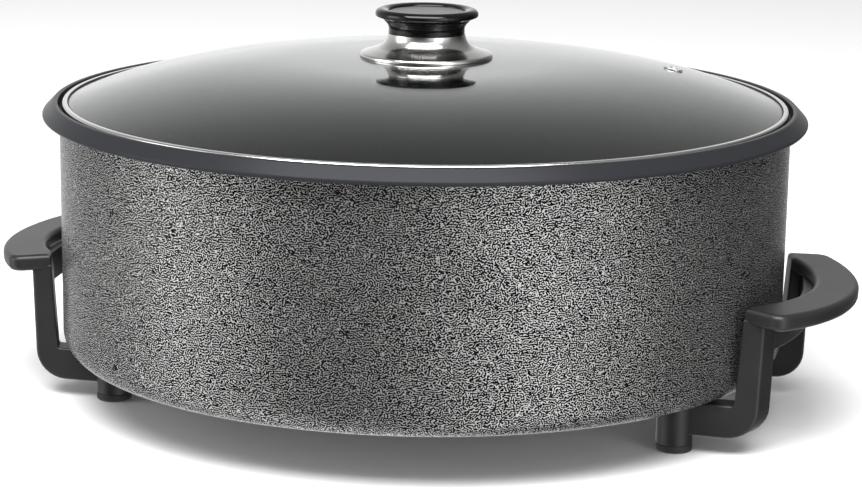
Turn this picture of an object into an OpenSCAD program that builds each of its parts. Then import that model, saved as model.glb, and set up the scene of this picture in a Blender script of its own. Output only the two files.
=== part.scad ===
// Round electric skillet with a lift-off glass lid. Millimetres, +Z up. The origin is on the
// surface that the feet stand on, under the centre of the pan. The handles lie on the X axis,
// and the appliance inlet is between the legs of the handle at -X.

/* [Pan] */
// Outer diameter of the wall just under the rim
pan_d = 402.6; // [330:0.2:490]
// Height from the underside of the floor to the top of the rim
pan_h = 139.7; // [110:0.1:180]
// Wall thickness
wall_t = 3.2; // [2.6:0.1:5]
// Floor thickness
floor_t = 4.7; // [3.8:0.1:8]
// How much smaller the wall's radius is at the bottom than under the rim
wall_draft = 0.8; // [0:0.1:4]
// Outer radius of the corner between wall and floor
corner_r = 13; // [8:0.5:20]
// Width of the flat top of the rim, round the recess
rim_w = 2.4; // [1:0.1:5]
// How far the rim's lip slopes outwards from the flat top
lip_w = 6; // [4:0.1:10]
// How far the middle of the lip's rounded edge is below the top of the rim
lip_drop = 7; // [5:0.1:9]
// How far the recess is wider than the wall's outer radius
recess_step = 0.9; // [0.5:0.1:2]

/* [Lid] */
// Radial gap between the lid's band and the rim's recess
lid_gap = 2.2; // [0.6:0.1:3]
// Clearance under the band at rest
seat_gap = 0.3; // [0.2:0.05:0.5]
// Glass thickness
glass_t = 3.5; // [2.9:0.1:6]
// Rise of the dome above the inner edge of the liner
dome_rise = 25.2; // [15:0.1:60]
// Radius to which the flatter middle of the dome is curved
crown_r = 3000; // [1200:50:6000]
// Distance from the lid's centre where the glass starts to curve more
crown_reach = 70; // [50:1:110]
// Thickness of the band's steel strip
band_t = 0.5; // [0.4:0.05:0.8]
// Width of the band seen from above
band_w = 3; // [2.5:0.1:5]
// How far the liner shows inside the band
liner_lip = 0.6; // [0.3:0.1:1]
// Distance of the steam vent from the lid's centre
vent_from_centre = 139.5; // [60:0.5:160]
// Direction of the steam vent, from +X towards +Y
vent_angle = 23.6; // [0:0.1:359]
// Bore of the steam vent
vent_bore = 4; // [2:0.5:8]

/* [Knob] */
// Height of the knob's top above the glass
knob_h = 26.2; // [22:0.1:45]
// Diameter of the knob at its widest
knob_d = 57; // [44:0.5:80]
// Diameter of the knob's waist
waist_d = 42; // [30:0.5:43]
// Height of the waist above the glass
waist_h = 12.5; // [10:0.1:16]
// Diameter of the steel guard
guard_d = 73.4; // [66:0.2:90]
// Radius of the guard's concave throat
guard_throat_r = 9.5; // [6:0.5:11]
// Slope of the guard's skirt
guard_slope = 17; // [10:1:25]
// Thickness of the guard's steel
guard_t = 0.8; // [0.5:0.1:1.2]
// Diameter of the inlaid disc
disc_d = 41.5; // [30:0.5:42]
// Diameter of the knob screw
knob_screw_d = 5; // [4:0.5:6]

/* [Handles] */
// Height of the grip's upper face above the surface, where it is nearest the pan
grip_top = 80.4; // [66:0.1:110]
// Slope of the grip, down towards its outer edge
grip_slope = 3.3; // [0:0.1:6]
// Thickness of the grip
grip_t = 9; // [7:0.5:14]
// How far the grip reaches beyond the wall
grip_reach = 41.7; // [34:0.1:60]
// Width of the grip at its middle
grip_w = 24; // [16:0.5:28]
// Radius of the grip's outer curve
grip_outer_r = 128.3; // [110:0.1:160]
// Radius of the grip's inner curve
grip_inner_r = 98.2; // [88:0.1:120]
// Angle of the grip's end faces
grip_end_angle = 20.9; // [5:0.1:35]
// Distance of a leg's outer side from the handle's middle
leg_y = 74; // [60:1:90]
// Width of a leg, seen from the handle's end
leg_t = 14; // [8:0.5:16]
// Depth of a leg just above its knee, from the pan outwards
leg_w = 11.8; // [9:0.1:18]
// Gap between the legs and the pan's wall
leg_gap = 3.3; // [1.5:0.1:8]
// How much further from the pan the legs are at the grip
leg_lean = 3.5; // [1:0.1:6]
// Height of the underside of the arms above the surface
arm_bottom = 9.7; // [6:0.1:12]
// Outer radius of the knee between leg and arm
knee_r = 16; // [8:0.5:20]
// Thickness of the apron
apron_t = 5.5; // [3:0.5:8]
// Height of the apron below the grip
apron_h = 15.7; // [6:0.1:24]

/* [Feet] */
// Gap between the pan's floor and the surface
ground_clear = 28; // [25:0.1:36]
// Diameter of a foot column
foot_d = 19.5; // [18.5:0.5:24]
// Distance of a foot's axis from the pan's wall
foot_from_wall = 27.7; // [24:0.1:34]
// How far a foot's axis is from a leg's outer side, towards the handle's middle
foot_inset = 4.9; // [3:0.1:12]
// Thickness of the foot pad under the column
pad_t = 4; // [2.5:0.5:6]
// Diameter of the handle screws
handle_screw_d = 5; // [4:0.5:6]

/* [Heating] */
// Distance from the pan's wall to the ring that the element makes
element_from_wall = 75.5; // [60:0.5:100]
// Diameter of the element's sheath
sheath_d = 6.6; // [5.5:0.1:8]
// Distance between the two terminal pins
pin_spacing = 26; // [24:1:30]
// Diameter of a terminal pin where the control plugs on
pin_d = 6; // [5:0.1:6.4]
// Length of a terminal pin in front of the insulating plate
pin_reach = 12.5; // [10:0.5:14]
// Bore of the probe guide
probe_bore = 7; // [5:0.1:8]
// Distance of the inlet's plate from the pan's wall
inlet_from_wall = 12.5; // [8:0.1:20]
// Depth of the shroud
shroud_depth = 16.5; // [14:0.5:20]
// Height of the shroud
shroud_h = 18.5; // [17:0.5:20]
// Width of the shroud
shroud_w = 55; // [54:1:66]

/* [Hidden] */
$fn = 96;

// Clearances between pieces of one body
fit_gap = 0.05;
loose_gap = 0.3;

// Pan
pan_r = pan_d / 2;
base_r = pan_r - wall_draft;
inner_r = pan_r - wall_t;
rim_top = ground_clear + pan_h;
recess_r = pan_r + recess_step;
cavity_floor = ground_clear + floor_t;
cavity_corner_r = corner_r - wall_t;

// Lid: the glass has a flatter middle, the crown, and a shoulder that runs on from it with no edge.
// The band and the recess are as deep as the glass's edge needs.
band_r = recess_r - lid_gap;
band_top = rim_top;
liner_t = 0.3;
dome_edge_r = band_r - band_w - liner_lip;
apex = band_top - band_t - liner_t + dome_rise;
crown_z = apex - crown_r;
crown_turn = asin(crown_reach / crown_r);
crown_drop = crown_r * (1 - cos(crown_turn));
shoulder_w = dome_edge_r - crown_reach;
shoulder_h = dome_rise - crown_drop;
shoulder_r = (pow(shoulder_w, 2) + pow(shoulder_h, 2))
    / (2 * (shoulder_h * cos(crown_turn) - shoulder_w * sin(crown_turn)));
shoulder_x = crown_reach - shoulder_r * sin(crown_turn);
shoulder_z = apex - crown_drop - shoulder_r * cos(crown_turn);
glass_edge_r = band_r - band_t - 1.1;
function dome_turn(r) = r < crown_reach ? asin(r / crown_r) : asin((r - shoulder_x) / shoulder_r);
function dome_z(r, depth = 0) = r < crown_reach
    ? crown_z + sqrt(pow(crown_r - depth, 2) - pow(r, 2))
    : shoulder_z + sqrt(pow(shoulder_r - depth, 2) - pow(r - shoulder_x, 2));
band_bottom = dome_z(glass_edge_r, glass_t) - liner_t - band_t;
seal_t = 1;
screw_hole_d = knob_screw_d + 3;
under_glass = apex - glass_t;

// Rim
ledge_z = band_bottom - seat_gap;
lip_round = 1.6;
lip_top_r = recess_r + rim_w;
lip_edge_x = lip_top_r + lip_w - lip_round;
lip_edge_z = rim_top - lip_drop;
lip_bottom = lip_edge_z - lip_round;
lip_root = min(ledge_z - 3, lip_bottom - 0.5);
lip_slope_l = norm([lip_w - lip_round, lip_drop]);
lip_slope_angle = 90 + atan2(lip_w - lip_round, lip_drop) - acos(lip_round / lip_slope_l);

// Knob, with heights above the top of the glass
guard_r = guard_d / 2;
guard_edge_r = 1.6;
throat_x = waist_d / 2 + guard_throat_r + 0.3;
stem_r = knob_screw_d * 2;
cap_minor_r = 2.8;
cap_r = knob_d / 2 - cap_minor_r;
cap_h = knob_h - cap_minor_r;
disc_t = 1.2;
disc_h = knob_h - 1.8;
insert_d = knob_screw_d + 4;
insert_bottom = seal_t + 2;
insert_top = cap_h - 2.5;
screw_head_h = 3;
washer_t = 1.2;
screw_seat = under_glass - seal_t - washer_t;

// Handles: legs and apron are parts of one cone round the pan
grip_bottom = grip_top - grip_t;
grip_outer_x = pan_r + grip_reach - grip_outer_r;
grip_inner_x = pan_r + grip_reach - grip_w - grip_inner_r;
arm_gap = 0.5;
arm_top = ground_clear - arm_gap;
leg_in = base_r + leg_gap;
leg_out = leg_in + leg_w;
leg_taper = 1.1;
leg_top = grip_bottom + 2;
leg_root_x = sqrt(pow(leg_in + leg_lean, 2) - pow(leg_y, 2));
function leg_face(z) = leg_in + leg_lean * (z - arm_top) / (grip_top - arm_top);
function leg_back(z) = leg_out + (leg_lean - leg_taper) * (z - arm_top) / (grip_top - arm_top);

// Feet: each stands on the flat of the floor, beside its leg
foot_y = leg_y - foot_inset;
foot_r = base_r - foot_from_wall;
foot_x = sqrt(pow(foot_r, 2) - pow(foot_y, 2));
FEET = [for (sx = [-1, 1], sy = [-1, 1]) [sx * foot_x, sy * foot_y]];
boss_d = handle_screw_d * 2.6;
boss_h = 5;
boss_bottom = ground_clear - boss_h;
clamp_t = 4;
clamp_bottom = boss_bottom - loose_gap - clamp_t;
spring_washer_t = 1.2;
counterbore_d = handle_screw_d * 2 + 1.6;
screw_head_d = handle_screw_d * 1.8;
screw_tip = cavity_floor - 2;
plug_h = 3;

// Heating element: a ring whose two ends turn outwards, parallel to -X. It lies so far below the
// floor that the probe guide passes under the pan's corner.
ring_r = base_r - element_from_wall;
leg_line = pin_spacing / 2;
bend_r = 20;
bend_y = leg_line + bend_r;
bend_x = -sqrt(pow(ring_r + bend_r, 2) - pow(bend_y, 2));
bend_turn = acos(bend_y / (ring_r + bend_r));
ring_half = 90 + bend_turn;
guide_wall = 0.8;
guide_d = probe_bore + 2 * guide_wall;
guide_l = 44;
pan_clearance = 0.4;
element_z = ground_clear - pan_clearance - guide_d / 2 - 0.1;
boss_face = base_r - inlet_from_wall;
sheath_end = boss_face - 3;
sheath_wall = 0.6;
sheath_bore = sheath_d - 2 * sheath_wall;
coil_d = 1.6;
rib_wall = 3.4;
rib_r = sheath_d / 2 + rib_wall;
pin_core_d = 2.6;
pin_core_l = 34;
plate_t = 2.2;
plate_face = boss_face + plate_t;
shroud_t = 1.2;
shroud_z = element_z - 2.6;
spark_gap = 1.6;
inlet_screw_d = 3;
inlet_screw_y = pin_spacing / 2 + 8.6;
inlet_screw_l = 9;

// ---- Shared shapes ----

// Half profile of a round vessel with a rounded lower corner
module vessel_profile(bottom_r, bottom_z, top_r, top_z, round_r) {
    centre_r = bottom_r - round_r;
    centre_z = bottom_z + round_r;
    polygon([
        [0, bottom_z],
        [centre_r, bottom_z],
        [centre_r, centre_z],
        [bottom_r, centre_z],
        [top_r, top_z],
        [0, top_z]
    ]);
    translate([centre_r, centre_z]) circle(round_r);
}

// Outside of the pan below the rim, grown by "grow"
module pan_outside(grow = 0) {
    vessel_profile(base_r + grow, ground_clear - grow, pan_r + grow, lip_root, corner_r + grow);
}

module pan_inside() {
    vessel_profile(base_r - wall_t, cavity_floor, inner_r, ledge_z + 1, cavity_corner_r);
}

// A round bar along the element's whole route: the ring, a bend at each end of it and two straight
// legs. The tube thins by a hair from the ring to the bends and from the bends to the legs.
module element_route(r, end) {
    thinning = 0.02;
    lap = 0.3;
    lap_turn = lap / bend_r * 180 / PI;
    translate([0, 0, element_z]) {
        rotate([0, 0, -ring_half])
            rotate_extrude(angle = 2 * ring_half)
            translate([ring_r, 0]) circle(r);
        for (side = [-1, 1]) {
            translate([bend_x, side * bend_y, 0])
                rotate([0, 0, side > 0 ? -90 : 90 - bend_turn - lap_turn])
                rotate_extrude(angle = bend_turn + lap_turn)
                translate([bend_r, 0]) circle(r - thinning);
            translate([bend_x + lap, side * leg_line, 0])
                rotate([0, -90, 0])
                cylinder(r = r - 2 * thinning, h = end + bend_x + lap);
        }
    }
}

// A cylinder along -X, from x = -from to x = -to
module along_x(d, from, to, y = 0, z = element_z) {
    translate([-from, y, z])
        rotate([0, -90, 0])
        cylinder(d = d, h = to - from);
}

// Places its children at each foot
module at_feet() {
    for (p = FEET) translate([p[0], p[1], 0]) children();
}

// ---- Pan body ----

module pan_profile() {
    difference() {
        union() {
            pan_outside();
            polygon([
                [inner_r - 1, lip_root],
                [pan_r, lip_root],
                [lip_edge_x, lip_bottom],
                [
                    lip_edge_x + lip_round * cos(lip_slope_angle),
                    lip_edge_z + lip_round * sin(lip_slope_angle)
                ],
                [lip_top_r, rim_top],
                [inner_r - 1, rim_top]
            ]);
            translate([lip_edge_x, lip_edge_z]) circle(lip_round);
        }
        pan_inside();
        translate([0, ledge_z]) square([recess_r, rim_top - ledge_z + 1]);
    }
}

module pan() {
    color("dimgray")
    difference() {
        union() {
            rotate_extrude() pan_profile();
            difference() {
                union() {
                    element_route(rib_r, boss_face - 4);
                    translate([-boss_face, -shroud_w / 2 + 1, shroud_z - shroud_h / 2 + 1])
                        cube([boss_face + bend_x + 10, shroud_w - 2, shroud_h - 2]);
                    at_feet() translate([0, 0, boss_bottom])
                        cylinder(d = boss_d, h = boss_h + 1);
                }
                rotate_extrude() pan_inside();
            }
        }
        element_route(sheath_d / 2 + fit_gap, boss_face + 1);
        along_x(guide_d + 2 * fit_gap, boss_face - guide_l, boss_face + 1);
        for (side = [-1, 1])
            along_x(inlet_screw_d + 2 * fit_gap, boss_face - inlet_screw_l - 1, boss_face + 1,
                side * inlet_screw_y);
        at_feet() translate([0, 0, boss_bottom - 1])
            cylinder(d = handle_screw_d + 2 * fit_gap, h = screw_tip + 0.5 - boss_bottom + 1);
    }
}

// ---- Handles ----

// The crescent that the hand holds, with a rounded rim, before it is sloped
module grip_plate() {
    edge_top = 3;
    edge_low = 3.5;
    end_reach = 200;
    end_half = leg_y - 1;
    intersection() {
        translate([grip_outer_x, 0, 0])
            difference() {
                rotate_extrude() {
                    translate([grip_outer_r / 2, grip_bottom])
                        square([grip_outer_r / 2 - edge_low, grip_t]);
                    translate([grip_outer_r - edge_low - 1, grip_bottom + edge_low])
                        square([edge_low + 1, grip_t - edge_top - edge_low]);
                    translate([grip_outer_r - edge_low - 1, grip_top - edge_top])
                        square([edge_low + 1 - edge_top, edge_top]);
                    translate([grip_outer_r - edge_top, grip_top - edge_top])
                        circle(edge_top);
                    translate([grip_outer_r - edge_low, grip_bottom + edge_low])
                        circle(edge_low);
                }
                translate([grip_inner_x - grip_outer_x, 0, grip_bottom - 1])
                    cylinder(r = grip_inner_r, h = grip_t + 2, $fn = 180);
            }
        translate([leg_root_x, 0, grip_bottom - 1])
            linear_extrude(grip_t + 2)
            polygon([
                [-leg_lean - 2, -end_half],
                [0, -end_half],
                [end_reach, -end_half - end_reach * tan(grip_end_angle)],
                [end_reach, end_half + end_reach * tan(grip_end_angle)],
                [0, end_half],
                [-leg_lean - 2, end_half]
            ]);
    }
}

module grip() {
    translate([leg_root_x, 0, grip_top])
        rotate([0, grip_slope, 0])
        translate([-leg_root_x, 0, -grip_top])
        grip_plate();
}

// The wall under the grip that joins the two legs
module apron() {
    apron_bottom = grip_bottom - apron_h;
    apron_top = grip_bottom + 0.5;
    half_span = leg_y - leg_t + 1;
    intersection() {
        rotate_extrude($fn = 180)
            polygon([
                [leg_back(apron_bottom) - apron_t, apron_bottom],
                [leg_back(apron_bottom), apron_bottom],
                [leg_back(apron_top), apron_top],
                [leg_back(apron_top) - apron_t, apron_top]
            ]);
        translate([0, -half_span, apron_bottom - 1])
            cube([2 * leg_out, 2 * half_span, apron_h + 4]);
    }
}

// Half profile of a leg and its arm
module leg_profile() {
    knee_z = arm_bottom + knee_r;
    polygon([
        [foot_r, arm_bottom],
        [leg_out - knee_r, arm_bottom],
        [leg_out - knee_r, knee_z],
        [leg_out, knee_z],
        [leg_back(leg_top), leg_top],
        [leg_face(leg_top) - 1, leg_top],
        [leg_in - 1, arm_top],
        [foot_r, arm_top]
    ]);
    intersection() {
        translate([leg_out - knee_r, knee_z]) circle(knee_r);
        translate([leg_out - knee_r, arm_bottom]) square(knee_r);
    }
}

module leg() {
    intersection() {
        rotate_extrude($fn = 180) leg_profile();
        translate([0, leg_y - leg_t, 0]) cube([2 * leg_out, leg_t, grip_top]);
    }
}

// The space round the pan that the handle leaves free
module pan_space() {
    top = grip_top + 5;
    rotate_extrude($fn = 180)
        polygon([[0, arm_top], [leg_in, arm_top], [leg_face(top), top], [0, top]]);
}

// The column that stands under the pan and takes the handle screw
module foot_column() {
    translate([foot_x, foot_y, pad_t]) cylinder(d = foot_d, h = arm_top - pad_t);
}

module foot_column_bores() {
    translate([foot_x, foot_y, 0]) {
        translate([0, 0, pad_t - 1])
            cylinder(d = counterbore_d, h = clamp_bottom - pad_t + 1);
        translate([0, 0, clamp_bottom - 1])
            cylinder(d = handle_screw_d + 0.6, h = clamp_t + 2);
        translate([0, 0, clamp_bottom + clamp_t])
            cylinder(d = boss_d + 0.6, h = arm_top);
    }
}

module handle() {
    difference() {
        union() {
            grip();
            apron();
            for (side = [0, 1]) mirror([0, side, 0]) {
                leg();
                foot_column();
            }
        }
        for (side = [0, 1]) mirror([0, side, 0]) foot_column_bores();
        pan_space();
    }
}

module handle_right() {
    color([0.13, 0.13, 0.13]) handle();
}

module handle_left() {
    color([0.13, 0.13, 0.13]) mirror([1, 0, 0]) handle();
}

// ---- Feet and fasteners under the pan ----

module foot_pads() {
    edge_r = 1.5;
    color([0.08, 0.08, 0.08])
    at_feet() {
        rotate_extrude() {
            square([foot_d / 2 - edge_r, pad_t]);
            translate([0, edge_r]) square([foot_d / 2, pad_t - edge_r]);
            translate([foot_d / 2 - edge_r, edge_r]) circle(edge_r);
        }
        translate([0, 0, pad_t - 0.5])
            cylinder(d = counterbore_d - 2 * fit_gap, h = plug_h + 0.5);
    }
}

module handle_washers() {
    color("silver")
    at_feet() translate([0, 0, clamp_bottom - spring_washer_t])
        difference() {
            cylinder(d = screw_head_d + 0.6, h = spring_washer_t);
            translate([0, 0, -1]) cylinder(d = handle_screw_d + 0.3, h = spring_washer_t + 2);
        }
}

module handle_screws() {
    seat = clamp_bottom - spring_washer_t;
    color("silver")
    at_feet() {
        translate([0, 0, seat]) cylinder(d = handle_screw_d, h = screw_tip - seat);
        translate([0, 0, seat - screw_head_h]) difference() {
            cylinder(d = screw_head_d, h = screw_head_h);
            translate([0, 0, -1]) {
                translate([-3, -0.6, 0]) cube([6, 1.2, 2.4]);
                translate([-0.6, -3, 0]) cube([1.2, 6, 2.4]);
            }
        }
    }
}

// ---- Heating element and appliance inlet ----

module element_sheath() {
    color("gray")
    difference() {
        element_route(sheath_d / 2, sheath_end);
        element_route(sheath_bore / 2, sheath_end + 1);
    }
}

module element_filling() {
    color("white")
    difference() {
        element_route(sheath_bore / 2 - fit_gap, sheath_end - 3);
        element_route(coil_d / 2 + fit_gap, sheath_end - 2);
        for (side = [-1, 1])
            along_x(pin_core_d + 2 * fit_gap, boss_face - pin_core_l - 1, boss_face, side * leg_line);
    }
}

module element_coil() {
    color("darkgray") element_route(coil_d / 2, boss_face - pin_core_l - 1.5);
}

module terminal_pins() {
    color("lightgray")
    for (side = [-1, 1]) {
        along_x(pin_core_d, boss_face - pin_core_l, plate_face + 1, side * leg_line);
        along_x(pin_d, plate_face, plate_face + pin_reach, side * leg_line);
    }
}

module end_seals() {
    color("ivory")
    for (side = [-1, 1])
        difference() {
            along_x(sheath_bore - 2 * fit_gap, sheath_end - 2.5, boss_face, side * leg_line);
            along_x(pin_core_d + 2 * fit_gap, sheath_end - 4, boss_face + 1, side * leg_line);
        }
}

module probe_guide() {
    color("goldenrod")
    difference() {
        along_x(guide_d, boss_face - guide_l + 1, plate_face + 4);
        along_x(probe_bore, boss_face - guide_l + 2.5, plate_face + 5);
    }
}

module inlet_screws() {
    head_h = 2;
    color("silver")
    for (side = [-1, 1]) {
        along_x(inlet_screw_d, boss_face - inlet_screw_l, plate_face + shroud_t + 0.5,
            side * inlet_screw_y);
        along_x(inlet_screw_d * 1.8, plate_face + shroud_t, plate_face + shroud_t + head_h,
            side * inlet_screw_y);
    }
}

// Holes that the pins, guide and screws pass through, cut from x = -from to x = -to
module inlet_holes(from, to, pin, gap) {
    for (side = [-1, 1]) {
        along_x(pin + 2 * gap, from, to, side * leg_line);
        along_x(inlet_screw_d + 0.4, from, to, side * inlet_screw_y);
    }
    along_x(guide_d + 2 * gap, from, to);
}

module inlet_plate() {
    color("wheat")
    difference() {
        translate([-plate_face, -shroud_w / 2 + shroud_t + 0.1, shroud_z - shroud_h / 2 + shroud_t + 0.1])
            cube([plate_t, shroud_w - 2 * shroud_t - 0.2, shroud_h - 2 * shroud_t - 0.2]);
        inlet_holes(boss_face - 1, plate_face + 1, pin_core_d, fit_gap);
        rotate_extrude() pan_outside(pan_clearance);
    }
}

module inlet_shroud() {
    front = boss_face + shroud_depth;
    color("gainsboro")
    difference() {
        translate([-front, -shroud_w / 2, shroud_z - shroud_h / 2])
            cube([shroud_depth, shroud_w, shroud_h]);
        translate([-front - 1, -shroud_w / 2 + shroud_t, shroud_z - shroud_h / 2 + shroud_t])
            cube([front - plate_face - shroud_t + 1, shroud_w - 2 * shroud_t, shroud_h - 2 * shroud_t]);
        translate([-plate_face, -shroud_w / 2 + shroud_t, shroud_z - shroud_h / 2 + shroud_t])
            cube([plate_t + 1, shroud_w - 2 * shroud_t, shroud_h - 2 * shroud_t]);
        inlet_holes(boss_face, plate_face + shroud_t + 1, pin_d, spark_gap);
        rotate_extrude() pan_outside(pan_clearance);
    }
}

// ---- Lid ----

// A point on the line where crown and shoulder meet, at a depth below the outer face
function seam(depth) =
    [(crown_r - depth) * sin(crown_turn), crown_z + (crown_r - depth) * cos(crown_turn)];

// A ring between two depths below a face of radius r
module skin_ring(centre, r, from_depth, to_depth) {
    translate(centre) difference() {
        circle(r - from_depth, $fn = 1440);
        circle(r - to_depth, $fn = 1440);
    }
}

// Half profile of the glass's flatter middle, from the screw hole to the shoulder
module crown_profile() {
    margin = 5;
    intersection() {
        skin_ring([0, crown_z], crown_r, 0, glass_t);
        polygon([
            [screw_hole_d / 2, under_glass - margin],
            seam(glass_t + margin),
            seam(-margin),
            [screw_hole_d / 2, apex + margin]
        ]);
    }
}

// Half profile of the shoulder out to a radius, between two depths below the glass's outer face
module shoulder_profile(to_r, from_depth, to_depth) {
    margin = 5;
    intersection() {
        skin_ring([shoulder_x, shoulder_z], shoulder_r, from_depth, to_depth);
        polygon([
            seam(glass_t + margin),
            seam(-margin),
            [to_r, apex],
            [to_r, dome_z(to_r, glass_t) - margin]
        ]);
    }
}

// Places its children on the outer face of the glass at the vent, square to the glass
module at_vent() {
    rotate([0, 0, vent_angle])
        translate([vent_from_centre, 0, dome_z(vent_from_centre)])
        rotate([0, dome_turn(vent_from_centre), 0])
        children();
}

module lid_glass() {
    color([0.45, 0.47, 0.48, 0.45])
    difference() {
        rotate_extrude($fn = 180) {
            crown_profile();
            shoulder_profile(glass_edge_r, 0, glass_t);
        }
        at_vent() translate([0, 0, -glass_t - 3]) cylinder(d = vent_bore + 3, h = glass_t + 6);
    }
}

module lid_band() {
    color("silver")
    rotate_extrude($fn = 180)
    difference() {
        translate([band_r - band_w, band_bottom]) square([band_w, band_top - band_bottom]);
        translate([band_r - band_w - 1, band_bottom + band_t])
            square([band_w + 1 - band_t, band_top - band_bottom - 2 * band_t]);
    }
}

// Fills the band round the glass edge and shows as a thin line inside it
module lid_liner() {
    skin = 0.02;
    inner_h = band_top - band_bottom - 2 * band_t;
    color([0.1, 0.1, 0.1])
    rotate_extrude($fn = 180)
    difference() {
        translate([dome_edge_r, band_bottom + band_t + skin])
            square([band_w + liner_lip - band_t - skin, inner_h - 2 * skin]);
        shoulder_profile(glass_edge_r + skin, -skin, glass_t + skin);
    }
}

module vent_eyelet() {
    flange_d = vent_bore + 7;
    flange_t = 0.8;
    color("silver")
    at_vent() difference() {
        union() {
            translate([0, 0, -glass_t - 0.8]) cylinder(d = vent_bore + 2.8, h = glass_t + 1.2);
            translate([0, 0, 0.1]) cylinder(d = flange_d, h = flange_t);
            translate([0, 0, -glass_t - 0.1 - flange_t]) cylinder(d = flange_d, h = flange_t);
        }
        translate([0, 0, -glass_t - 4]) cylinder(d = vent_bore, h = glass_t + 8);
    }
}

// ---- Knob ----

// Points along an arc, seen in a half profile
function arc(cx, cz, r, from, to, steps = 12) =
    [for (i = [0:steps]) let (a = from + (to - from) * i / steps) [cx + r * cos(a), cz + r * sin(a)]];

module knob_grip() {
    throat_r = 6;
    shoulder_r = waist_d / 2;
    color([0.06, 0.06, 0.06])
    translate([0, 0, apex])
    rotate_extrude()
    difference() {
        union() {
            difference() {
                polygon([
                    [0, seal_t + fit_gap],
                    [stem_r, seal_t + fit_gap],
                    [stem_r, waist_h + fit_gap],
                    [shoulder_r, waist_h + fit_gap],
                    [cap_r, cap_h - cap_minor_r + 0.5],
                    [cap_r, knob_h - 1],
                    [0, knob_h - 1]
                ]);
                translate([shoulder_r + throat_r, waist_h + 1.5]) circle(throat_r);
            }
            translate([cap_r, cap_h]) circle(cap_minor_r);
            translate([cap_r - 0.5, cap_h - cap_minor_r - 0.1]) circle(0.8);
        }
        translate([0, disc_h - disc_t - fit_gap]) square([disc_d / 2 + fit_gap, 6]);
        square([insert_d / 2 + fit_gap, insert_top + fit_gap]);
    }
}

module knob_disc() {
    color("gray")
    translate([0, 0, apex + disc_h - disc_t])
        cylinder(d = disc_d, h = disc_t);
}

// Trumpet-shaped sheet under the knob: a flat top with a hole for the knob's stem, a concave
// throat, a sloping skirt and an edge turned down to the glass
module knob_guard() {
    throat_z = waist_h + 0.9;
    skirt_x = throat_x - guard_throat_r * sin(guard_slope);
    skirt_z = throat_z - guard_throat_r * cos(guard_slope);
    edge_x = guard_r - guard_edge_r;
    edge_z = skirt_z - (edge_x + guard_edge_r * sin(guard_slope) - skirt_x) * tan(guard_slope)
        - guard_edge_r * cos(guard_slope);
    foot_z = dome_z(guard_r) - apex + 0.15;
    top_angle = 180 + asin((throat_z - waist_h) / guard_throat_r);
    skirt_angle = 270 - guard_slope;
    outer = concat(
        [[stem_r + fit_gap, waist_h]],
        arc(throat_x, throat_z, guard_throat_r, top_angle, skirt_angle),
        arc(edge_x, edge_z, guard_edge_r, 90 - guard_slope, 0, 6),
        [[guard_r, foot_z]]
    );
    inner = concat(
        [[guard_r - guard_t, foot_z]],
        arc(edge_x, edge_z, guard_edge_r - guard_t, 0, 90 - guard_slope, 6),
        arc(throat_x, throat_z, guard_throat_r + guard_t, skirt_angle, top_angle + 4),
        [[stem_r + fit_gap, waist_h - guard_t]]
    );
    color("silver")
    translate([0, 0, apex])
    rotate_extrude($fn = 180)
    polygon(concat(outer, inner));
}

module knob_insert() {
    color("gold")
    translate([0, 0, apex + insert_bottom])
        difference() {
            cylinder(d = insert_d, h = insert_top - insert_bottom);
            translate([0, 0, -1])
                cylinder(d = knob_screw_d + 2 * fit_gap, h = insert_top - insert_bottom);
        }
}

module knob_screw() {
    tip = apex + insert_top - 2;
    color("silver")
    difference() {
        union() {
            translate([0, 0, screw_seat]) cylinder(d = knob_screw_d, h = tip - screw_seat);
            translate([0, 0, screw_seat - screw_head_h])
                cylinder(d = knob_screw_d * 2, h = screw_head_h);
        }
        translate([0, 0, screw_seat - screw_head_h - 1]) {
            translate([-3, -0.6, 0]) cube([6, 1.2, 2.4]);
            translate([-0.6, -3, 0]) cube([1.2, 6, 2.4]);
        }
    }
}

module knob_washer() {
    color("silver")
    translate([0, 0, screw_seat])
        difference() {
            cylinder(d = knob_screw_d * 3.6, h = washer_t);
            translate([0, 0, -1]) cylinder(d = knob_screw_d + 0.4, h = washer_t + 2);
        }
}

// Silicone washers above and below the glass
module knob_seals() {
    hole_r = knob_screw_d / 2 + 0.2;
    upper_w = stem_r + 0.6 - hole_r;
    lower_w = knob_screw_d * 1.8 - hole_r;
    sag = apex - dome_z(hole_r + lower_w);
    color([0.15, 0.15, 0.15])
    rotate_extrude() {
        translate([hole_r, apex + fit_gap]) square([upper_w, seal_t - fit_gap]);
        translate([hole_r, under_glass - seal_t]) square([lower_w, seal_t - sag - fit_gap]);
    }
}

pan();
handle_left();
handle_right();
foot_pads();
handle_screws();
handle_washers();
element_sheath();
element_filling();
element_coil();
terminal_pins();
end_seals();
probe_guide();
inlet_plate();
inlet_shroud();
inlet_screws();
lid_glass();
lid_band();
lid_liner();
vent_eyelet();
knob_grip();
knob_disc();
knob_guard();
knob_insert();
knob_screw();
knob_washer();
knob_seals();
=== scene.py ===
"""Round electric skillet with a domed glass lid.

Every visible surface is built or finished here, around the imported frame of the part. Lengths are
in metres in the frame's own axes: +Z up, X through both handles, the appliance inlet at -X.
"""
import math

import bmesh
import bpy
from bpy.props import FloatProperty, FloatVectorProperty, IntProperty, PointerProperty
from mathutils import Matrix, Vector


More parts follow.
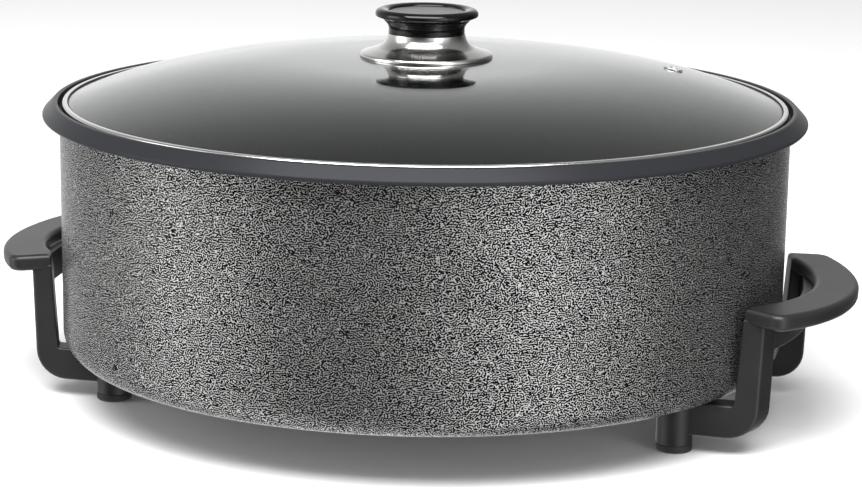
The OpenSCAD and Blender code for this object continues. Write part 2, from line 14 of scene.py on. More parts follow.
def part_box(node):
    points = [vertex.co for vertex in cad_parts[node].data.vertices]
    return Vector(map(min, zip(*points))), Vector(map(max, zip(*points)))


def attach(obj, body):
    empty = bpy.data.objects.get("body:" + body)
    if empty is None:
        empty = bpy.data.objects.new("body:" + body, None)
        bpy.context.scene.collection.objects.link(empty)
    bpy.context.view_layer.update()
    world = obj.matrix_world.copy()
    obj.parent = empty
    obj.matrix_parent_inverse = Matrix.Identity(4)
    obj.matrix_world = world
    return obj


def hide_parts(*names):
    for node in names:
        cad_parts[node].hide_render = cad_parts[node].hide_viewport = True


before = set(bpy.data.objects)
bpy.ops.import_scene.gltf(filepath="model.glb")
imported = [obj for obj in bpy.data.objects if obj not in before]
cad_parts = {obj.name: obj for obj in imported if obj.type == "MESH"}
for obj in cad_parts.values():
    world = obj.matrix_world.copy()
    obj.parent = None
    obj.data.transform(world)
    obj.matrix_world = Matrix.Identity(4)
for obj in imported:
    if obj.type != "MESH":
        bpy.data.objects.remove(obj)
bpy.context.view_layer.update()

bl_info = {
    "name": "Electric skillet",
    "version": (1, 0, 0),
    "blender": (4, 5, 0),
    "location": "3D View > Sidebar > Skillet",
    "description": "Builds a round electric skillet with its glass lid, handles, inlet and studio",
    "category": "Add Mesh",
}

MM = 0.001
BASE = "base"
LID = "lid"
_, PAN_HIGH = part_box("pan")
_, GLASS_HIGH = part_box("lid_glass")
BAND_LOW, BAND_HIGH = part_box("lid_band")
_, HANDLE_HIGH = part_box("handle_right")
PAD_LOW, PAD_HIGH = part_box("foot_pads")
DISC_LOW, DISC_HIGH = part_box("knob_disc")
CAP_LOW, CAP_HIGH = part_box("knob_grip")
GUARD_LOW, GUARD_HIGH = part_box("knob_guard")
PIN_LOW, PIN_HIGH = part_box("terminal_pins")
SCREW_LOW, SCREW_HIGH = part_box("inlet_screws")
VENT_LOW, VENT_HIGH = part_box("vent_eyelet")
SHROUD_LOW, SHROUD_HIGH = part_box("inlet_shroud")
PIN_RADIUS = 3 * MM
ARM_TOP = 27.5 * MM

# Radii of the legs' outer face at the top of their arms and at the top of the handle.
LEG_OUTER_LOW = 215.6 * MM
LEG_OUTER_HIGH = 218 * MM

# Brightness of the room by direction: 0 is behind the skillet, 0.25 at its left, 0.5 in front of
# it and 0.75 at its right.
PANORAMA = (
    (0.0, 1.2), (0.13, 0.62), (0.2, 0.58), (0.27, 1.7), (0.335, 0.95), (0.385, 0.1),
    (0.44, 0.02), (0.49, 0.06), (0.55, 0.9), (0.605, 1.7), (0.66, 1.0), (0.72, 0.12),
    (0.77, 0.05), (0.83, 0.01), (0.92, 0.2), (1.0, 1.2),
)


# ---- Sizes and colours that a user may change ----


def length(name, description, default):
    """A length property in metres."""
    return FloatProperty(name=name, description=description, default=default, unit="LENGTH")


def shade(name, description, default):
    """A colour property."""
    return FloatVectorProperty(
        name=name, description=description, default=default, subtype="COLOR", size=3, min=0, max=1
    )


class SkilletSizes(bpy.types.PropertyGroup):
    """Sizes of the skillet's visible pieces."""

    wall_radius: length("Wall radius", "Outer radius of the wall under the rim", 201.3 * MM)
    wall_draft: length("Wall draft", "How much narrower the wall is at the bottom", 0.8 * MM)
    wall_thickness: length("Wall thickness", "Thickness of the cast wall", 3.2 * MM)
    floor_underside: length("Floor underside", "Height of the pan's underside", 28 * MM)
    floor_thickness: length("Floor thickness", "Thickness of the cast floor", 4.7 * MM)
    corner_radius: length("Corner radius", "Outer radius between wall and floor", 13 * MM)
    lip_width: length("Lip width", "How far the rim's lip slopes outwards", 6 * MM)
    lip_drop: length("Lip drop", "How far the lip's edge is below the top of the rim", 7 * MM)
    lip_round: length("Lip round", "Radius of the lip's edge", 1.6 * MM)
    recess_radius: length("Recess radius", "Radius of the recess that takes the lid", 202.2 * MM)
    glass_thickness: length("Glass thickness", "Thickness of the lid's glass", 3.5 * MM)
    dome_rise: length("Dome rise", "Rise of the glass above the band's inner edge", 25.2 * MM)
    crown_radius: length("Crown radius", "Radius to which the dome's middle is curved", 3000 * MM)
    crown_reach: length("Crown reach", "Where the glass starts to curve more", 70 * MM)
    dome_edge: length("Dome edge", "Radius at which the glass leaves the band", 196.4 * MM)
    band_width: length("Band width", "Width of the steel band from above", 3 * MM)
    band_strip: length("Band strip", "Thickness of the band's steel strip", 0.5 * MM)
    grip_thickness: length("Grip thickness", "Thickness of the handle's grip", 9 * MM)
    leg_side: length("Leg side", "Distance of a leg's outer side from the middle", 74 * MM)
    leg_width: length("Leg width", "Width of a leg seen from the end", 14 * MM)
    foot_radius: length("Foot radius", "Radius of a foot column", 9.75 * MM)
    knob_stem: length("Knob stem", "Radius of the knob's stem", 10 * MM)
    waist_radius: length("Waist radius", "Radius of the knob's waist", 21 * MM)
    worm_pitch: length("Worm pitch", "Distance between the enamel's silver worms", 1.95 * MM)
    round_segments: IntProperty(
        name="Round segments", description="Facets round the large pieces", default=288, min=48
    )


class SkilletColours(bpy.types.PropertyGroup):
    """Colours of the skillet's finishes."""

    worm_silver: shade("Worm silver", "Raised silver of the hammertone", (0.54, 0.54, 0.535))
    worm_black: shade("Worm black", "Dark ground of the hammertone", (0.003, 0.003, 0.003))
    rim_grey: shade("Rim grey", "Smooth enamel of the rim", (0.021, 0.022, 0.025))
    coating: shade("Coating", "Non-stick coating inside the pan", (0.018, 0.018, 0.019))
    phenolic: shade("Phenolic", "Moulded black of the handles", (0.016, 0.016, 0.017))
    knob_black: shade("Knob black", "Polished black of the knob", (0.003, 0.003, 0.003))
    disc_grey: shade("Disc grey", "Disc let into the knob", (0.13, 0.13, 0.13))
    steel: shade("Steel", "Polished stainless steel", (0.80, 0.79, 0.77))
    glass: shade("Glass", "Tint of the toughened glass", (0.84, 0.87, 0.87))
    floor: shade("Floor", "Studio floor", (0.90, 0.90, 0.90))


# ---- Node graphs ----


def arithmetic(operation):
    """A method that adds this Math node to a graph, and the same with the two values swapped."""

    def forward(self, other):
        return self.graph.maths(operation, self, other)

    def reflected(self, other):
        return self.graph.maths(operation, other, self)

    return forward, reflected


class Signal:
    """One output of a node. Arithmetic on it adds Math nodes to its graph."""

    def __init__(self, graph, socket):
        self.graph = graph
        self.socket = socket

    def output(self, name):
        """Another output of the same node."""
        return Signal(self.graph, self.socket.node.outputs[name])

    __add__, __radd__ = arithmetic("ADD")
    __sub__, __rsub__ = arithmetic("SUBTRACT")
    __mul__, __rmul__ = arithmetic("MULTIPLY")
    __truediv__, __rtruediv__ = arithmetic("DIVIDE")
    __mod__, __rmod__ = arithmetic("MODULO")
    __pow__, __rpow__ = arithmetic("POWER")


class Graph:
    """A node tree that nodes are added to."""

    def __init__(self, tree):
        self.tree = tree

    def node(self, kind, settings=None, inputs=None, output=0):
        """Adds a node: its settings first, then the values or links of its inputs."""
        made = self.tree.nodes.new(kind)
        for name, value in (settings or {}).items():
            if name == "stops":
                stops = made.color_ramp.elements
                for place, _ in value[1:-1]:
                    stops.new(place)
                for stop, (place, grey) in zip(stops, value):
                    stop.position = place
                    stop.color = (grey, grey, grey, 1)
            else:
                setattr(made, name, value)
        for key, value in (inputs or {}).items():
            if isinstance(value, Signal):
                self.tree.links.new(value.socket, made.inputs[key])
            else:
                made.inputs[key].default_value = value
        return Signal(self, made.outputs[output])

    def maths(self, operation, *values):
        """A Math node on these values."""
        return self.node("ShaderNodeMath", {"operation": operation}, dict(enumerate(values)))

    def step(self, value, low, high, to_low=0.0, to_high=1.0):
        """A smooth step between two values."""
        return self.node(
            "ShaderNodeMapRange",
            {"interpolation_type": "SMOOTHSTEP"},
            {
                "Value": value,
                "From Min": low,
                "From Max": high,
                "To Min": to_low,
                "To Max": to_high,
            },
        )

    def mix(self, factor, first, second):
        """A colour between two colours."""
        return self.node(
            "ShaderNodeMix", {"data_type": "RGBA"}, {0: factor, 6: first, 7: second}, output=2
        )

    def shades(self, factor, colour, first, second):
        """One colour, made darker or lighter by between a first and a second amount."""
        return self.mix(factor, opaque(colour, first), opaque(colour, second))


class Place:
    """The Object coordinates of a surface, and what is worked out from them."""

    def __init__(self, graph):
        self.graph = graph
        self.vector = graph.node("ShaderNodeTexCoord").output("Object")
        split = graph.node("ShaderNodeSeparateXYZ", inputs={0: self.vector})
        self.x = split
        self.y = split.output("Y")
        self.z = split.output("Z")
        self.radius = (self.x * self.x + self.y * self.y) ** 0.5

    def noise(self, size, detail=2.0, roughness=0.5, distortion=0.0):
        """Noise with features of about the given size."""
        return self.graph.node(
            "ShaderNodeTexNoise",
            inputs={
                "Vector": self.vector,
                "Scale": 1 / size,
                "Detail": detail,
                "Roughness": roughness,
                "Distortion": distortion,
            },
        )


def finish(name, build, **constants):
    """A material: constants are set on the shader's own sockets, and build returns what varies.

    build(graph, place) returns a dict of the shader's inputs, with "Height" as (signal, metres).
    """
    material = bpy.data.materials.get(name)
    if material:
        return material
    material = bpy.data.materials.new(name)
    material.use_nodes = True
    graph = Graph(material.node_tree)
    shader = material.node_tree.nodes["Principled BSDF"]
    for key, value in constants.items():
        shader.inputs[key.replace("_", " ")].default_value = value
    varying = build(graph, Place(graph))
    height = varying.pop("Height", None)
    if height:
        signal, depth = height
        varying["Normal"] = graph.node(
            "ShaderNodeBump", inputs={"Strength": 1.0, "Distance": depth, "Height": signal}
        )
    for key, signal in varying.items():
        material.node_tree.links.new(signal.socket, shader.inputs[key])
    return material


def tint(name):
    """One of the colours that a user may change."""
    return getattr(bpy.context.scene.skillet_colours, name)


def opaque(colour, factor=1.0):
    """A colour property as the four numbers that a socket takes, made darker or lighter."""
    return (*[min(1.0, part * factor) for part in colour], 1.0)


# ---- Finishes ----


def cast_enamel():
    """Hammertone enamel outside, smooth grey enamel on the rim, black coating inside."""
    sizes = bpy.context.scene.skillet_sizes

    def build(graph, place):
        drift = place.noise(40 * MM, 2.0)
        worms = graph.node(
            "ShaderNodeTexGabor",
            {"gabor_type": "3D"},
            {
                "Vector": place.vector,
                "Scale": 1 / (1.1 * sizes.worm_pitch),
                "Frequency": 1.9,
                "Anisotropy": 0.0,
            },
        )
        wave = graph.maths("COSINE", worms.output("Phase") * math.tau)
        worm = graph.step(wave, 0.05, 1.0)
        grain = place.noise(0.5 * MM, 2.0)
        corner_radius = sizes.wall_radius - sizes.wall_draft - sizes.corner_radius
        corner_level = sizes.floor_underside + sizes.corner_radius
        across = graph.maths("MAXIMUM", place.radius - corner_radius, 0)
        down = graph.maths("MAXIMUM", corner_level - place.z, 0)
        skin = (across * across + down * down) ** 0.5
        middle = sizes.corner_radius - 0.4 * sizes.wall_thickness
        blend = 0.4 * MM
        inside = graph.step(skin, middle + blend, middle - blend)
        rim_line = BAND_LOW.z - 3.6 * MM
        rim = graph.step(place.z, rim_line - blend, rim_line + blend) * (1 - inside)
        silver = opaque(tint("worm_silver"))
        black = opaque(tint("worm_black"))
        hammered = graph.mix(worm * (0.80 + drift * 0.3), black, silver)
        outside = graph.mix(rim, hammered, opaque(tint("rim_grey")))
        base = graph.mix(inside, outside, opaque(tint("coating")))
        hammer_rough = 0.17 + grain * 0.06 + worm * 0.16
        rim_rough = 0.30
        rough = hammer_rough + rim * (rim_rough - hammer_rough)
        coating_rough = 0.42 + grain * 0.12
        rough = rough + inside * (coating_rough - rough)
        raised = worm * (1 - rim) * (1 - inside)
        metal = raised * 0.95 + rim * 0.1
        relief = raised + grain * 0.08
        return {
            "Base Color": base,
            "Roughness": rough,
            "Metallic": metal,
            "Height": (relief, 0.015 * MM),
        }

    return finish("hammertone enamel", build, IOR=1.16)


def moulded_black(name, colour, roughness, grain_size=0.35 * MM, relief=0.010 * MM):
    """Moulded black plastic with a fine grain, slow sheen changes and faint rubbing marks."""

    def build(graph, place):
        grain = place.noise(grain_size, 3.0)
        cloud = place.noise(30 * MM, 3.0)
        scuff = graph.step(place.noise(9 * MM, 6.0, distortion=2.0), 0.60, 0.75)
        return {
            "Base Color": graph.shades(cloud, colour, 0.8, 1.35),
            "Roughness": roughness + (cloud - 0.5) * 0.08 + (grain - 0.5) * 0.06 + scuff * 0.03,
            "Height": (grain, relief),
        }

    return finish(name, build, IOR=1.42)


def spun_metal(name, colour, roughness):
    """Polished metal with faint rings from spinning and a slow unevenness."""

    def build(graph, place):
        across = graph.node("ShaderNodeCombineXYZ", inputs={"X": place.radius, "Y": place.z})
        rings = graph.node(
            "ShaderNodeTexNoise",
            {"noise_dimensions": "2D"},
            {"Vector": across, "Scale": 1 / (0.18 * MM), "Detail": 2.0},
        )
        cloud = place.noise(12 * MM, 3.0)
        return {
            "Base Color": graph.shades(cloud, colour, 0.93, 1.05),
            "Roughness": roughness + (rings - 0.5) * 0.05 + (cloud - 0.5) * 0.04,
            "Height": (rings, 0.0006 * MM),
        }

    return finish(name, build, Metallic=1.0)


def plated_metal(name, colour, roughness):
    """Plated, pressed or annealed metal, with fine crystals and clouding."""

    def build(graph, place):
        crystal = graph.node(
            "ShaderNodeTexVoronoi", inputs={"Vector": place.vector, "Scale": 1 / (0.8 * MM)}
        ).output("Color")
        level = graph.node("ShaderNodeSeparateXYZ", inputs={0: crystal})
        cloud = place.noise(6 * MM, 4.0)
        return {
            "Base Color": graph.shades(cloud, colour, 0.8, 1.1),
            "Roughness": roughness + (level - 0.5) * 0.10 + (cloud - 0.5) * 0.12,
            "Height": (level, 0.002 * MM),
        }

    return finish(name, build, Metallic=1.0)


def pressed_powder(name, colour, roughness):
    """Ceramic, mineral or pressed insulating board, with a sandy grain and specks."""

    def build(graph, place):
        grain = place.noise(0.3 * MM, 4.0, 0.65)
        speck = graph.step(place.noise(0.9 * MM, 1.0), 0.66, 0.72)
        return {
            "Base Color": graph.shades(speck * 0.6 + grain * 0.25, colour, 1.05, 0.62),
            "Roughness": roughness + (grain - 0.5) * 0.15,
            "Height": (grain, 0.03 * MM),
        }

    return finish(name, build, IOR=1.55)


def toughened_glass():
    """Clear glass with a faint tint, a trace of wipe haze and very shallow ripples."""

    def build(graph, place):
        haze = place.noise(45 * MM, 4.0, 0.6)
        ripple = place.noise(90 * MM, 1.0)
        return {
            "Base Color": graph.shades(haze, tint("glass"), 0.96, 1.0),
            "Roughness": 0.015 + haze * 0.03,
            "Height": (ripple, 0.05 * MM),
        }

    return finish("toughened glass", build, Transmission_Weight=1.0, IOR=1.5)


def knob_disc_finish():
    """Matt grey disc with fine turned rings."""

    def build(graph, place):
        rings = graph.node(
            "ShaderNodeTexWave",
            {"wave_type": "RINGS", "rings_direction": "Z", "wave_profile": "SIN"},
            {
                "Vector": place.vector,
                "Scale": 1 / (6.5 * MM),
                "Distortion": 0.5,
                "Detail": 2.0,
            },
        )
        grain = place.noise(0.25 * MM, 3.0)
        return {
            "Base Color": graph.shades(rings, tint("disc_grey"), 0.85, 1.12),
            "Roughness": 0.38 + rings * 0.08 + (grain - 0.5) * 0.1,
            "Height": (rings * 0.7 + grain * 0.3, 0.02 * MM),
        }

    return finish("turned grey disc", build, Metallic=0.35)


def studio_floor():
    """Pale seamless floor with a barely visible mottle."""

    def build(graph, place):
        mottle = place.noise(0.4, 3.0)
        return {
            "Base Color": graph.shades(mottle, tint("floor"), 0.995, 1.0),
            "Roughness": 0.72 + mottle * 0.1,
        }

    return finish("studio floor", build)


def handle_black():
    """Satin black of the handles."""
    return moulded_black("satin phenolic", tint("phenolic"), 0.36)


def knob_gloss():
    """Polished black of the knob."""
    return moulded_black("polished phenolic", tint("knob_black"), 0.09, 4 * MM, 0.004 * MM)


def soft_rubber():
    """Matt black of the foot pads, the liner and the knob's washers."""
    return moulded_black("moulded rubber", (0.018, 0.018, 0.018), 0.62, 0.25 * MM, 0.02 * MM)


def polished_steel():
    """Bright steel of the band, the vent eyelet and the knob's guard."""
    return spun_metal("polished steel", tint("steel"), 0.19)


def zinc_plating():
    """Zinc of the screws and washers."""
    return plated_metal("zinc plating", (0.62, 0.62, 0.60), 0.34)


def turned_brass():
    """Brass of the probe guide and the knob's insert."""
    return plated_metal("turned brass", (0.72, 0.55, 0.26), 0.30)


# ---- Outlines ----


def arc(centre, radius, start, stop, steps=10):
    """Points along an arc, with angles in degrees."""
    turns = [math.radians(start + (stop - start) * i / steps) for i in range(steps + 1)]
    return [(centre[0] + radius * math.cos(t), centre[1] + radius * math.sin(t)) for t in turns]


def inset(outline, distance):
    """A closed outline, listed counter-clockwise, moved inwards, with sharp corners."""
    least_cosine = 0.3
    count = len(outline)
    moved = []
    for i in range(count):
        here = Vector(outline[i])
        back = (here - Vector(outline[i - 1])).normalized()
        ahead = (Vector(outline[(i + 1) % count]) - here).normalized()
        normal = Vector((-back.y - ahead.y, back.x + ahead.x)).normalized()
        cosine = normal.dot(Vector((-back.y, back.x)))
        moved.append(here + normal * distance / max(least_cosine, cosine))
    return moved


def rounded(corners, closed=False, steps=6, hold=0.4 * MM, shrink=0):
    """An outline through corners (u, v, radius), each turned into an arc of that radius.

    A closed outline, listed counter-clockwise, can be shrunk, and its points stay as many. Beside
    each arc lies a holding point, which keeps the flat stretches flat when shaded smooth.
    """
    least_radius = 0.05 * MM
    arc_share = 0.48
    hold_share = 0.49
    count = len(corners)
    places = [Vector(corner[:2]) for corner in corners]
    if shrink:
        places = inset(places, shrink)
    outline = []
    for i, (place, corner) in enumerate(zip(places, corners)):
        if len(corner) < 3 or not corner[2] or (not closed and i in (0, count - 1)):
            outline.append(place)
            continue
        back = places[i - 1] - place
        ahead = places[(i + 1) % count] - place
        convex = ahead.x * back.y - ahead.y * back.x > 0
        radius = max(least_radius, corner[2] - shrink if convex else corner[2] + shrink)
        half = back.angle(ahead) / 2
        room = min(back.length, ahead.length)
        reach = min(radius / math.tan(half), arc_share * room)
        radius = reach * math.tan(half)
        middle = (back.normalized() + ahead.normalized()).normalized() * radius / math.sin(half)
        first = back.normalized() * reach - middle
        last = ahead.normalized() * reach - middle
        sweep = math.atan2(first.x * last.y - first.y * last.x, first.dot(last))
        held = reach + min(hold, hold_share * room - reach)
        outline.append(place + back.normalized() * held)
        for k in range(steps + 1):
            outline.append(place + middle + Matrix.Rotation(sweep * k / steps, 2) @ first)
        outline.append(place + ahead.normalized() * held)
    return [tuple(point) for point in outline]


# ---- Meshes ----


def new_piece(name, vertices, faces=(), edges=()):
    """An object at the origin with a mesh of these parts."""
    mesh = bpy.data.meshes.new(name)
    mesh.from_pydata([tuple(v) for v in vertices], list(edges), list(faces))
    piece = bpy.data.objects.new(name, mesh)
    bpy.context.scene.collection.objects.link(piece)
    return piece


def new_chain(name, points):
    """An object whose mesh is a chain of points."""
    return new_piece(name, points, edges=[(i, i + 1) for i in range(len(points) - 1)])


def keep_modified(piece):
    """Replaces the piece's mesh by the one that its modifiers make."""
    bpy.context.view_layer.update()
    depsgraph = bpy.context.evaluated_depsgraph_get()
    mesh = bpy.data.meshes.new_from_object(piece.evaluated_get(depsgraph))
    piece.modifiers.clear()
    piece.data = mesh


def tidy(piece, material):
    """Merges doubles, points faces outwards and shades smooth up to the crease angle."""
    merge_distance = 0.002 * MM
    crease = math.radians(35)
    mesh = piece.data
    work = bmesh.new()
    work.from_mesh(mesh)
    bmesh.ops.remove_doubles(work, verts=work.verts, dist=merge_distance)
    bmesh.ops.recalc_face_normals(work, faces=work.faces)
    for face in work.faces:
        face.smooth = True
    work.to_mesh(mesh)
    work.free()
    mesh.set_sharp_from_angle(angle=crease)
    mesh.materials.clear()
    mesh.materials.append(material)
    return piece


def run_tree(piece, name, values):
    """Runs a geometry tree on the piece, with inputs by name, and keeps its result as the mesh."""
    trees = {"lathe": lathe_tree, "repeat": repeat_tree, "tube": tube_tree}
    tree = bpy.data.node_groups.get(name) or trees[name]()
    modifier = piece.modifiers.new(name, "NODES")
    modifier.node_group = tree
    for item in tree.interface.items_tree:
        if item.item_type == "SOCKET" and item.in_out == "INPUT" and item.name in values:
            modifier[item.identifier] = values[item.name]
    keep_modified(piece)


def geometry_tree(name, inputs):
    """A geometry tree with a Geometry input first, and then the named ones."""
    tree = bpy.data.node_groups.new(name, "GeometryNodeTree")
    tree.interface.new_socket("Geometry", in_out="INPUT", socket_type="NodeSocketGeometry")
    for label, kind in inputs.items():
        tree.interface.new_socket(label, in_out="INPUT", socket_type=kind)
    tree.interface.new_socket("Geometry", in_out="OUTPUT", socket_type="NodeSocketGeometry")
    graph = Graph(tree)
    return tree, graph, graph.node("NodeGroupInput")


def close_tree(graph, shape, source):
    """Ends a geometry tree: real geometry with its material."""
    real = graph.node("GeometryNodeRealizeInstances", inputs={0: shape})
    dressed = graph.node(
        "GeometryNodeSetMaterial", inputs={"Geometry": real, "Material": source.output("Finish")}
    )
    end = graph.tree.nodes.new("NodeGroupOutput")
    graph.tree.links.new(dressed.socket, end.inputs[0])


def lathe_tree():
    """Turns a profile, which is a chain of points in the XZ plane, about the Z axis."""
    tree, graph, source = geometry_tree(
        "lathe", {"Segments": "NodeSocketInt", "Finish": "NodeSocketMaterial"}
    )
    segments = source.output("Segments")
    points = graph.node("GeometryNodeAttributeDomainSize", inputs={0: source})
    sheet = graph.node(
        "GeometryNodeMeshGrid", inputs={"Vertices X": segments + 1, "Vertices Y": points}
    )
    index = graph.node("GeometryNodeInputIndex")
    column = graph.maths("FLOOR", index / points)
    profile = graph.node(
        "GeometryNodeSampleIndex",
        {"data_type": "FLOAT_VECTOR"},
        {
            "Geometry": source,
            "Value": graph.node("GeometryNodeInputPosition"),
            "Index": index % points,
        },
    )
    turned = graph.node(
        "ShaderNodeVectorRotate",
        {"rotation_type": "Z_AXIS"},
        {"Vector": profile, "Angle": column * math.tau / segments},
    )
    shape = graph.node("GeometryNodeSetPosition", inputs={"Geometry": sheet, "Position": turned})
    merged = graph.node(
        "GeometryNodeMergeByDistance", inputs={"Geometry": shape, "Distance": 0.001 * MM}
    )
    close_tree(graph, merged, source)
    return tree


def repeat_tree():
    """Puts a piece at every point of the mesh."""
    tree, graph, source = geometry_tree(
        "repeat", {"Piece": "NodeSocketObject", "Finish": "NodeSocketMaterial"}
    )
    piece = graph.node("GeometryNodeObjectInfo", inputs={0: source.output("Piece")})
    copies = graph.node(
        "GeometryNodeInstanceOnPoints",
        inputs={"Points": source, "Instance": piece.output("Geometry")},
    )
    close_tree(graph, copies, source)
    return tree


def tube_tree():
    """Sweeps a round section along the chain of points in the mesh."""
    tree, graph, source = geometry_tree(
        "tube",
        {"Radius": "NodeSocketFloat", "Sides": "NodeSocketInt", "Finish": "NodeSocketMaterial"},
    )
    path = graph.node("GeometryNodeMeshToCurve", inputs={0: source})
    ring = graph.node(
        "GeometryNodeCurvePrimitiveCircle",
        inputs={"Resolution": source.output("Sides"), "Radius": source.output("Radius")},
    )
    tube = graph.node(
        "GeometryNodeCurveToMesh", inputs={"Curve": path, "Profile Curve": ring, "Fill Caps": True}
    )
    close_tree(graph, tube, source)
    return tree


def lathe(name, corners, material, segments=None, closed=False, **rounding):
    """A round piece turned from the outline through corners (radius, height, rounding)."""
    points = [(radius, 0, height) for radius, height in rounded(corners, closed, **rounding)]
    if closed:
        points.append(points[0])
    piece = new_chain(name, points)
    segments = segments or bpy.context.scene.skillet_sizes.round_segments
    run_tree(piece, "lathe", {"Segments": segments, "Finish": material})
    return tidy(piece, material)


def repeated(name, prototype, places, material):
    """One piece that holds a copy of the prototype at each place. The prototype is removed."""
    piece = new_piece(name, places)
    run_tree(piece, "repeat", {"Piece": prototype, "Finish": material})
    bpy.data.objects.remove(prototype)
    return tidy(piece, material)


def ring_faces(count, rings):
    """Faces through rings of count vertices each, with both ends closed."""
    faces = [tuple(reversed(range(count)))]
    for a in range(0, (rings - 1) * count, count):
        b = a + count
        for i in range(count):
            j = (i + 1) % count
            faces.append((a + i, a + j, b + j, b + i))
    faces.append(tuple(range((rings - 1) * count, rings * count)))
    return faces


def slab(corners, low, high, round_low, round_high, steps=5, hold=0.5 * MM):
    """Vertices (u, v, w) and faces of a plate with rounded upper and lower edges.

    The corners (u, v, radius) go round counter-clockwise. The plate lies from low to high in w.
    """
    quarter = arc((0, 0), 1, 0, 90, steps)
    levels = [(round_low + hold, low)]
    levels += [(round_low * (1 - v), low + round_low * (1 - u)) for u, v in quarter]
    levels += [(round_high * (1 - u), high - round_high * (1 - v)) for u, v in quarter]
    levels.append((round_high + hold, high))
    vertices = []
    for distance, level in levels:
        ring = rounded(corners, True, 8, hold, distance)
        vertices += [(u, v, level) for u, v in ring]
    return vertices, ring_faces(len(ring), len(levels))


def place_piece(piece, body, slot, *nodes):
    """Rides the finished piece on its body, in place of the CAD nodes; the slot argument is not
    used.
    """
    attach(piece, body)
    if nodes:
        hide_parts(*nodes)


def dress(material, *nodes):
    """Gives carried-over CAD nodes their finish."""
    for node in nodes:
        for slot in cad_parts[node].material_slots:
            slot.material = material


# ---- Pan ----


def pan_corners(sizes):
    """Half profile of the casting: under the floor, up the wall, over the rim and down inside."""
    wall = sizes.wall_radius
    base = wall - sizes.wall_draft
    inner = wall - sizes.wall_thickness
    under = sizes.floor_underside
    floor = under + sizes.floor_thickness
    inner_corner = sizes.corner_radius - sizes.wall_thickness
    rim_top = PAN_HIGH.z
    rim_edge = PAN_HIGH.x
    ledge = BAND_LOW.z - 0.3 * MM
    lip_root = ledge - 3 * MM
    edge_z = rim_top - sizes.lip_drop
    edge_x = rim_edge - sizes.lip_round
    span = math.hypot(sizes.lip_width - sizes.lip_round, sizes.lip_drop)
    lean = math.atan2(sizes.lip_width - sizes.lip_round, sizes.lip_drop)
    slope_turn = 90 + math.degrees(lean - math.acos(sizes.lip_round / span))
    lip_edge = arc((edge_x, edge_z), sizes.lip_round, -86, slope_turn, 14)
    return [
        (0, under),
        (base, under, sizes.corner_radius),
        (wall, lip_root, 1.0 * MM),
        *lip_edge,
        (rim_edge - sizes.lip_width, rim_top, 1.8 * MM),
        (sizes.recess_radius, rim_top - 0.2 * MM, 0.6 * MM),
        (sizes.recess_radius, ledge, 0.5 * MM),
        (inner, ledge, 0.9 * MM),
        (base - sizes.wall_thickness, floor, inner_corner),
        (0, floor),
    ]


def element_route():
    """Chain of points along the middle of the heating element, from one inlet pin to the other."""
    level = (PIN_LOW.z + PIN_HIGH.z) / 2
    pin_y = (PIN_HIGH.y - PIN_LOW.y) / 2 - PIN_RADIUS
    sheath_radius = 3.3 * MM
    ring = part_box("element_sheath")[1].x - sheath_radius
    bend = 20 * MM
    bend_y = pin_y + bend
    bend_x = -math.sqrt((ring + bend) ** 2 - bend_y**2)
    slope = math.degrees(math.atan2(bend_y, -bend_x))
    behind_shroud = 4 * MM
    start = (SHROUD_HIGH.x + behind_shroud, -pin_y)
    first_bend = arc((bend_x, -bend_y), bend, 90, slope, 8)
    ring_half = arc((0, 0), ring, slope - 180, 0, 48)
    half = [start] + first_bend + ring_half[1:]
    other = [(x, -y) for x, y in reversed(half[:-1])]
    return [(x, y, level) for x, y in half + other]


class SKILLET_OT_pan(bpy.types.Operator):
    """Build the cast pan with its rim, its element rib and its inlet boss."""

    bl_idname = "skillet.pan"
    bl_label = "Pan"

    def execute(self, context):
        sizes = context.scene.skillet_sizes
        enamel = cast_enamel()
        vessel = lathe("pan_vessel", pan_corners(sizes), enamel, steps=10)
        place_piece(vessel, BASE, "hammertone_casting", "pan")

        rib = new_chain("element_rib", element_route())
        rib_radius = 6.7 * MM
        run_tree(rib, "tube", {"Radius": rib_radius, "Sides": 28, "Finish": enamel})
        place_piece(tidy(rib, enamel), BASE, "hammertone_casting")

        boss_length = 57 * MM
        margin = 1 * MM
        overlap = 1 * MM
        sharp = 0.6 * MM
        soft = 6 * MM
        front = SHROUD_HIGH.x
        side = SHROUD_HIGH.y - margin
        back = front + boss_length
        corners = [
            (front, -side, sharp),
            (back, -side, soft),
            (back, side, soft),
            (front, side, sharp),
        ]
        low = SHROUD_LOW.z + margin
        block = slab(corners, low, sizes.floor_underside + overlap, 2 * MM, 0.3 * MM)
        boss = new_piece("inlet_boss", *block)
        place_piece(tidy(boss, enamel), BASE, "hammertone_casting")
        return {"FINISHED"}


# ---- Handles ----


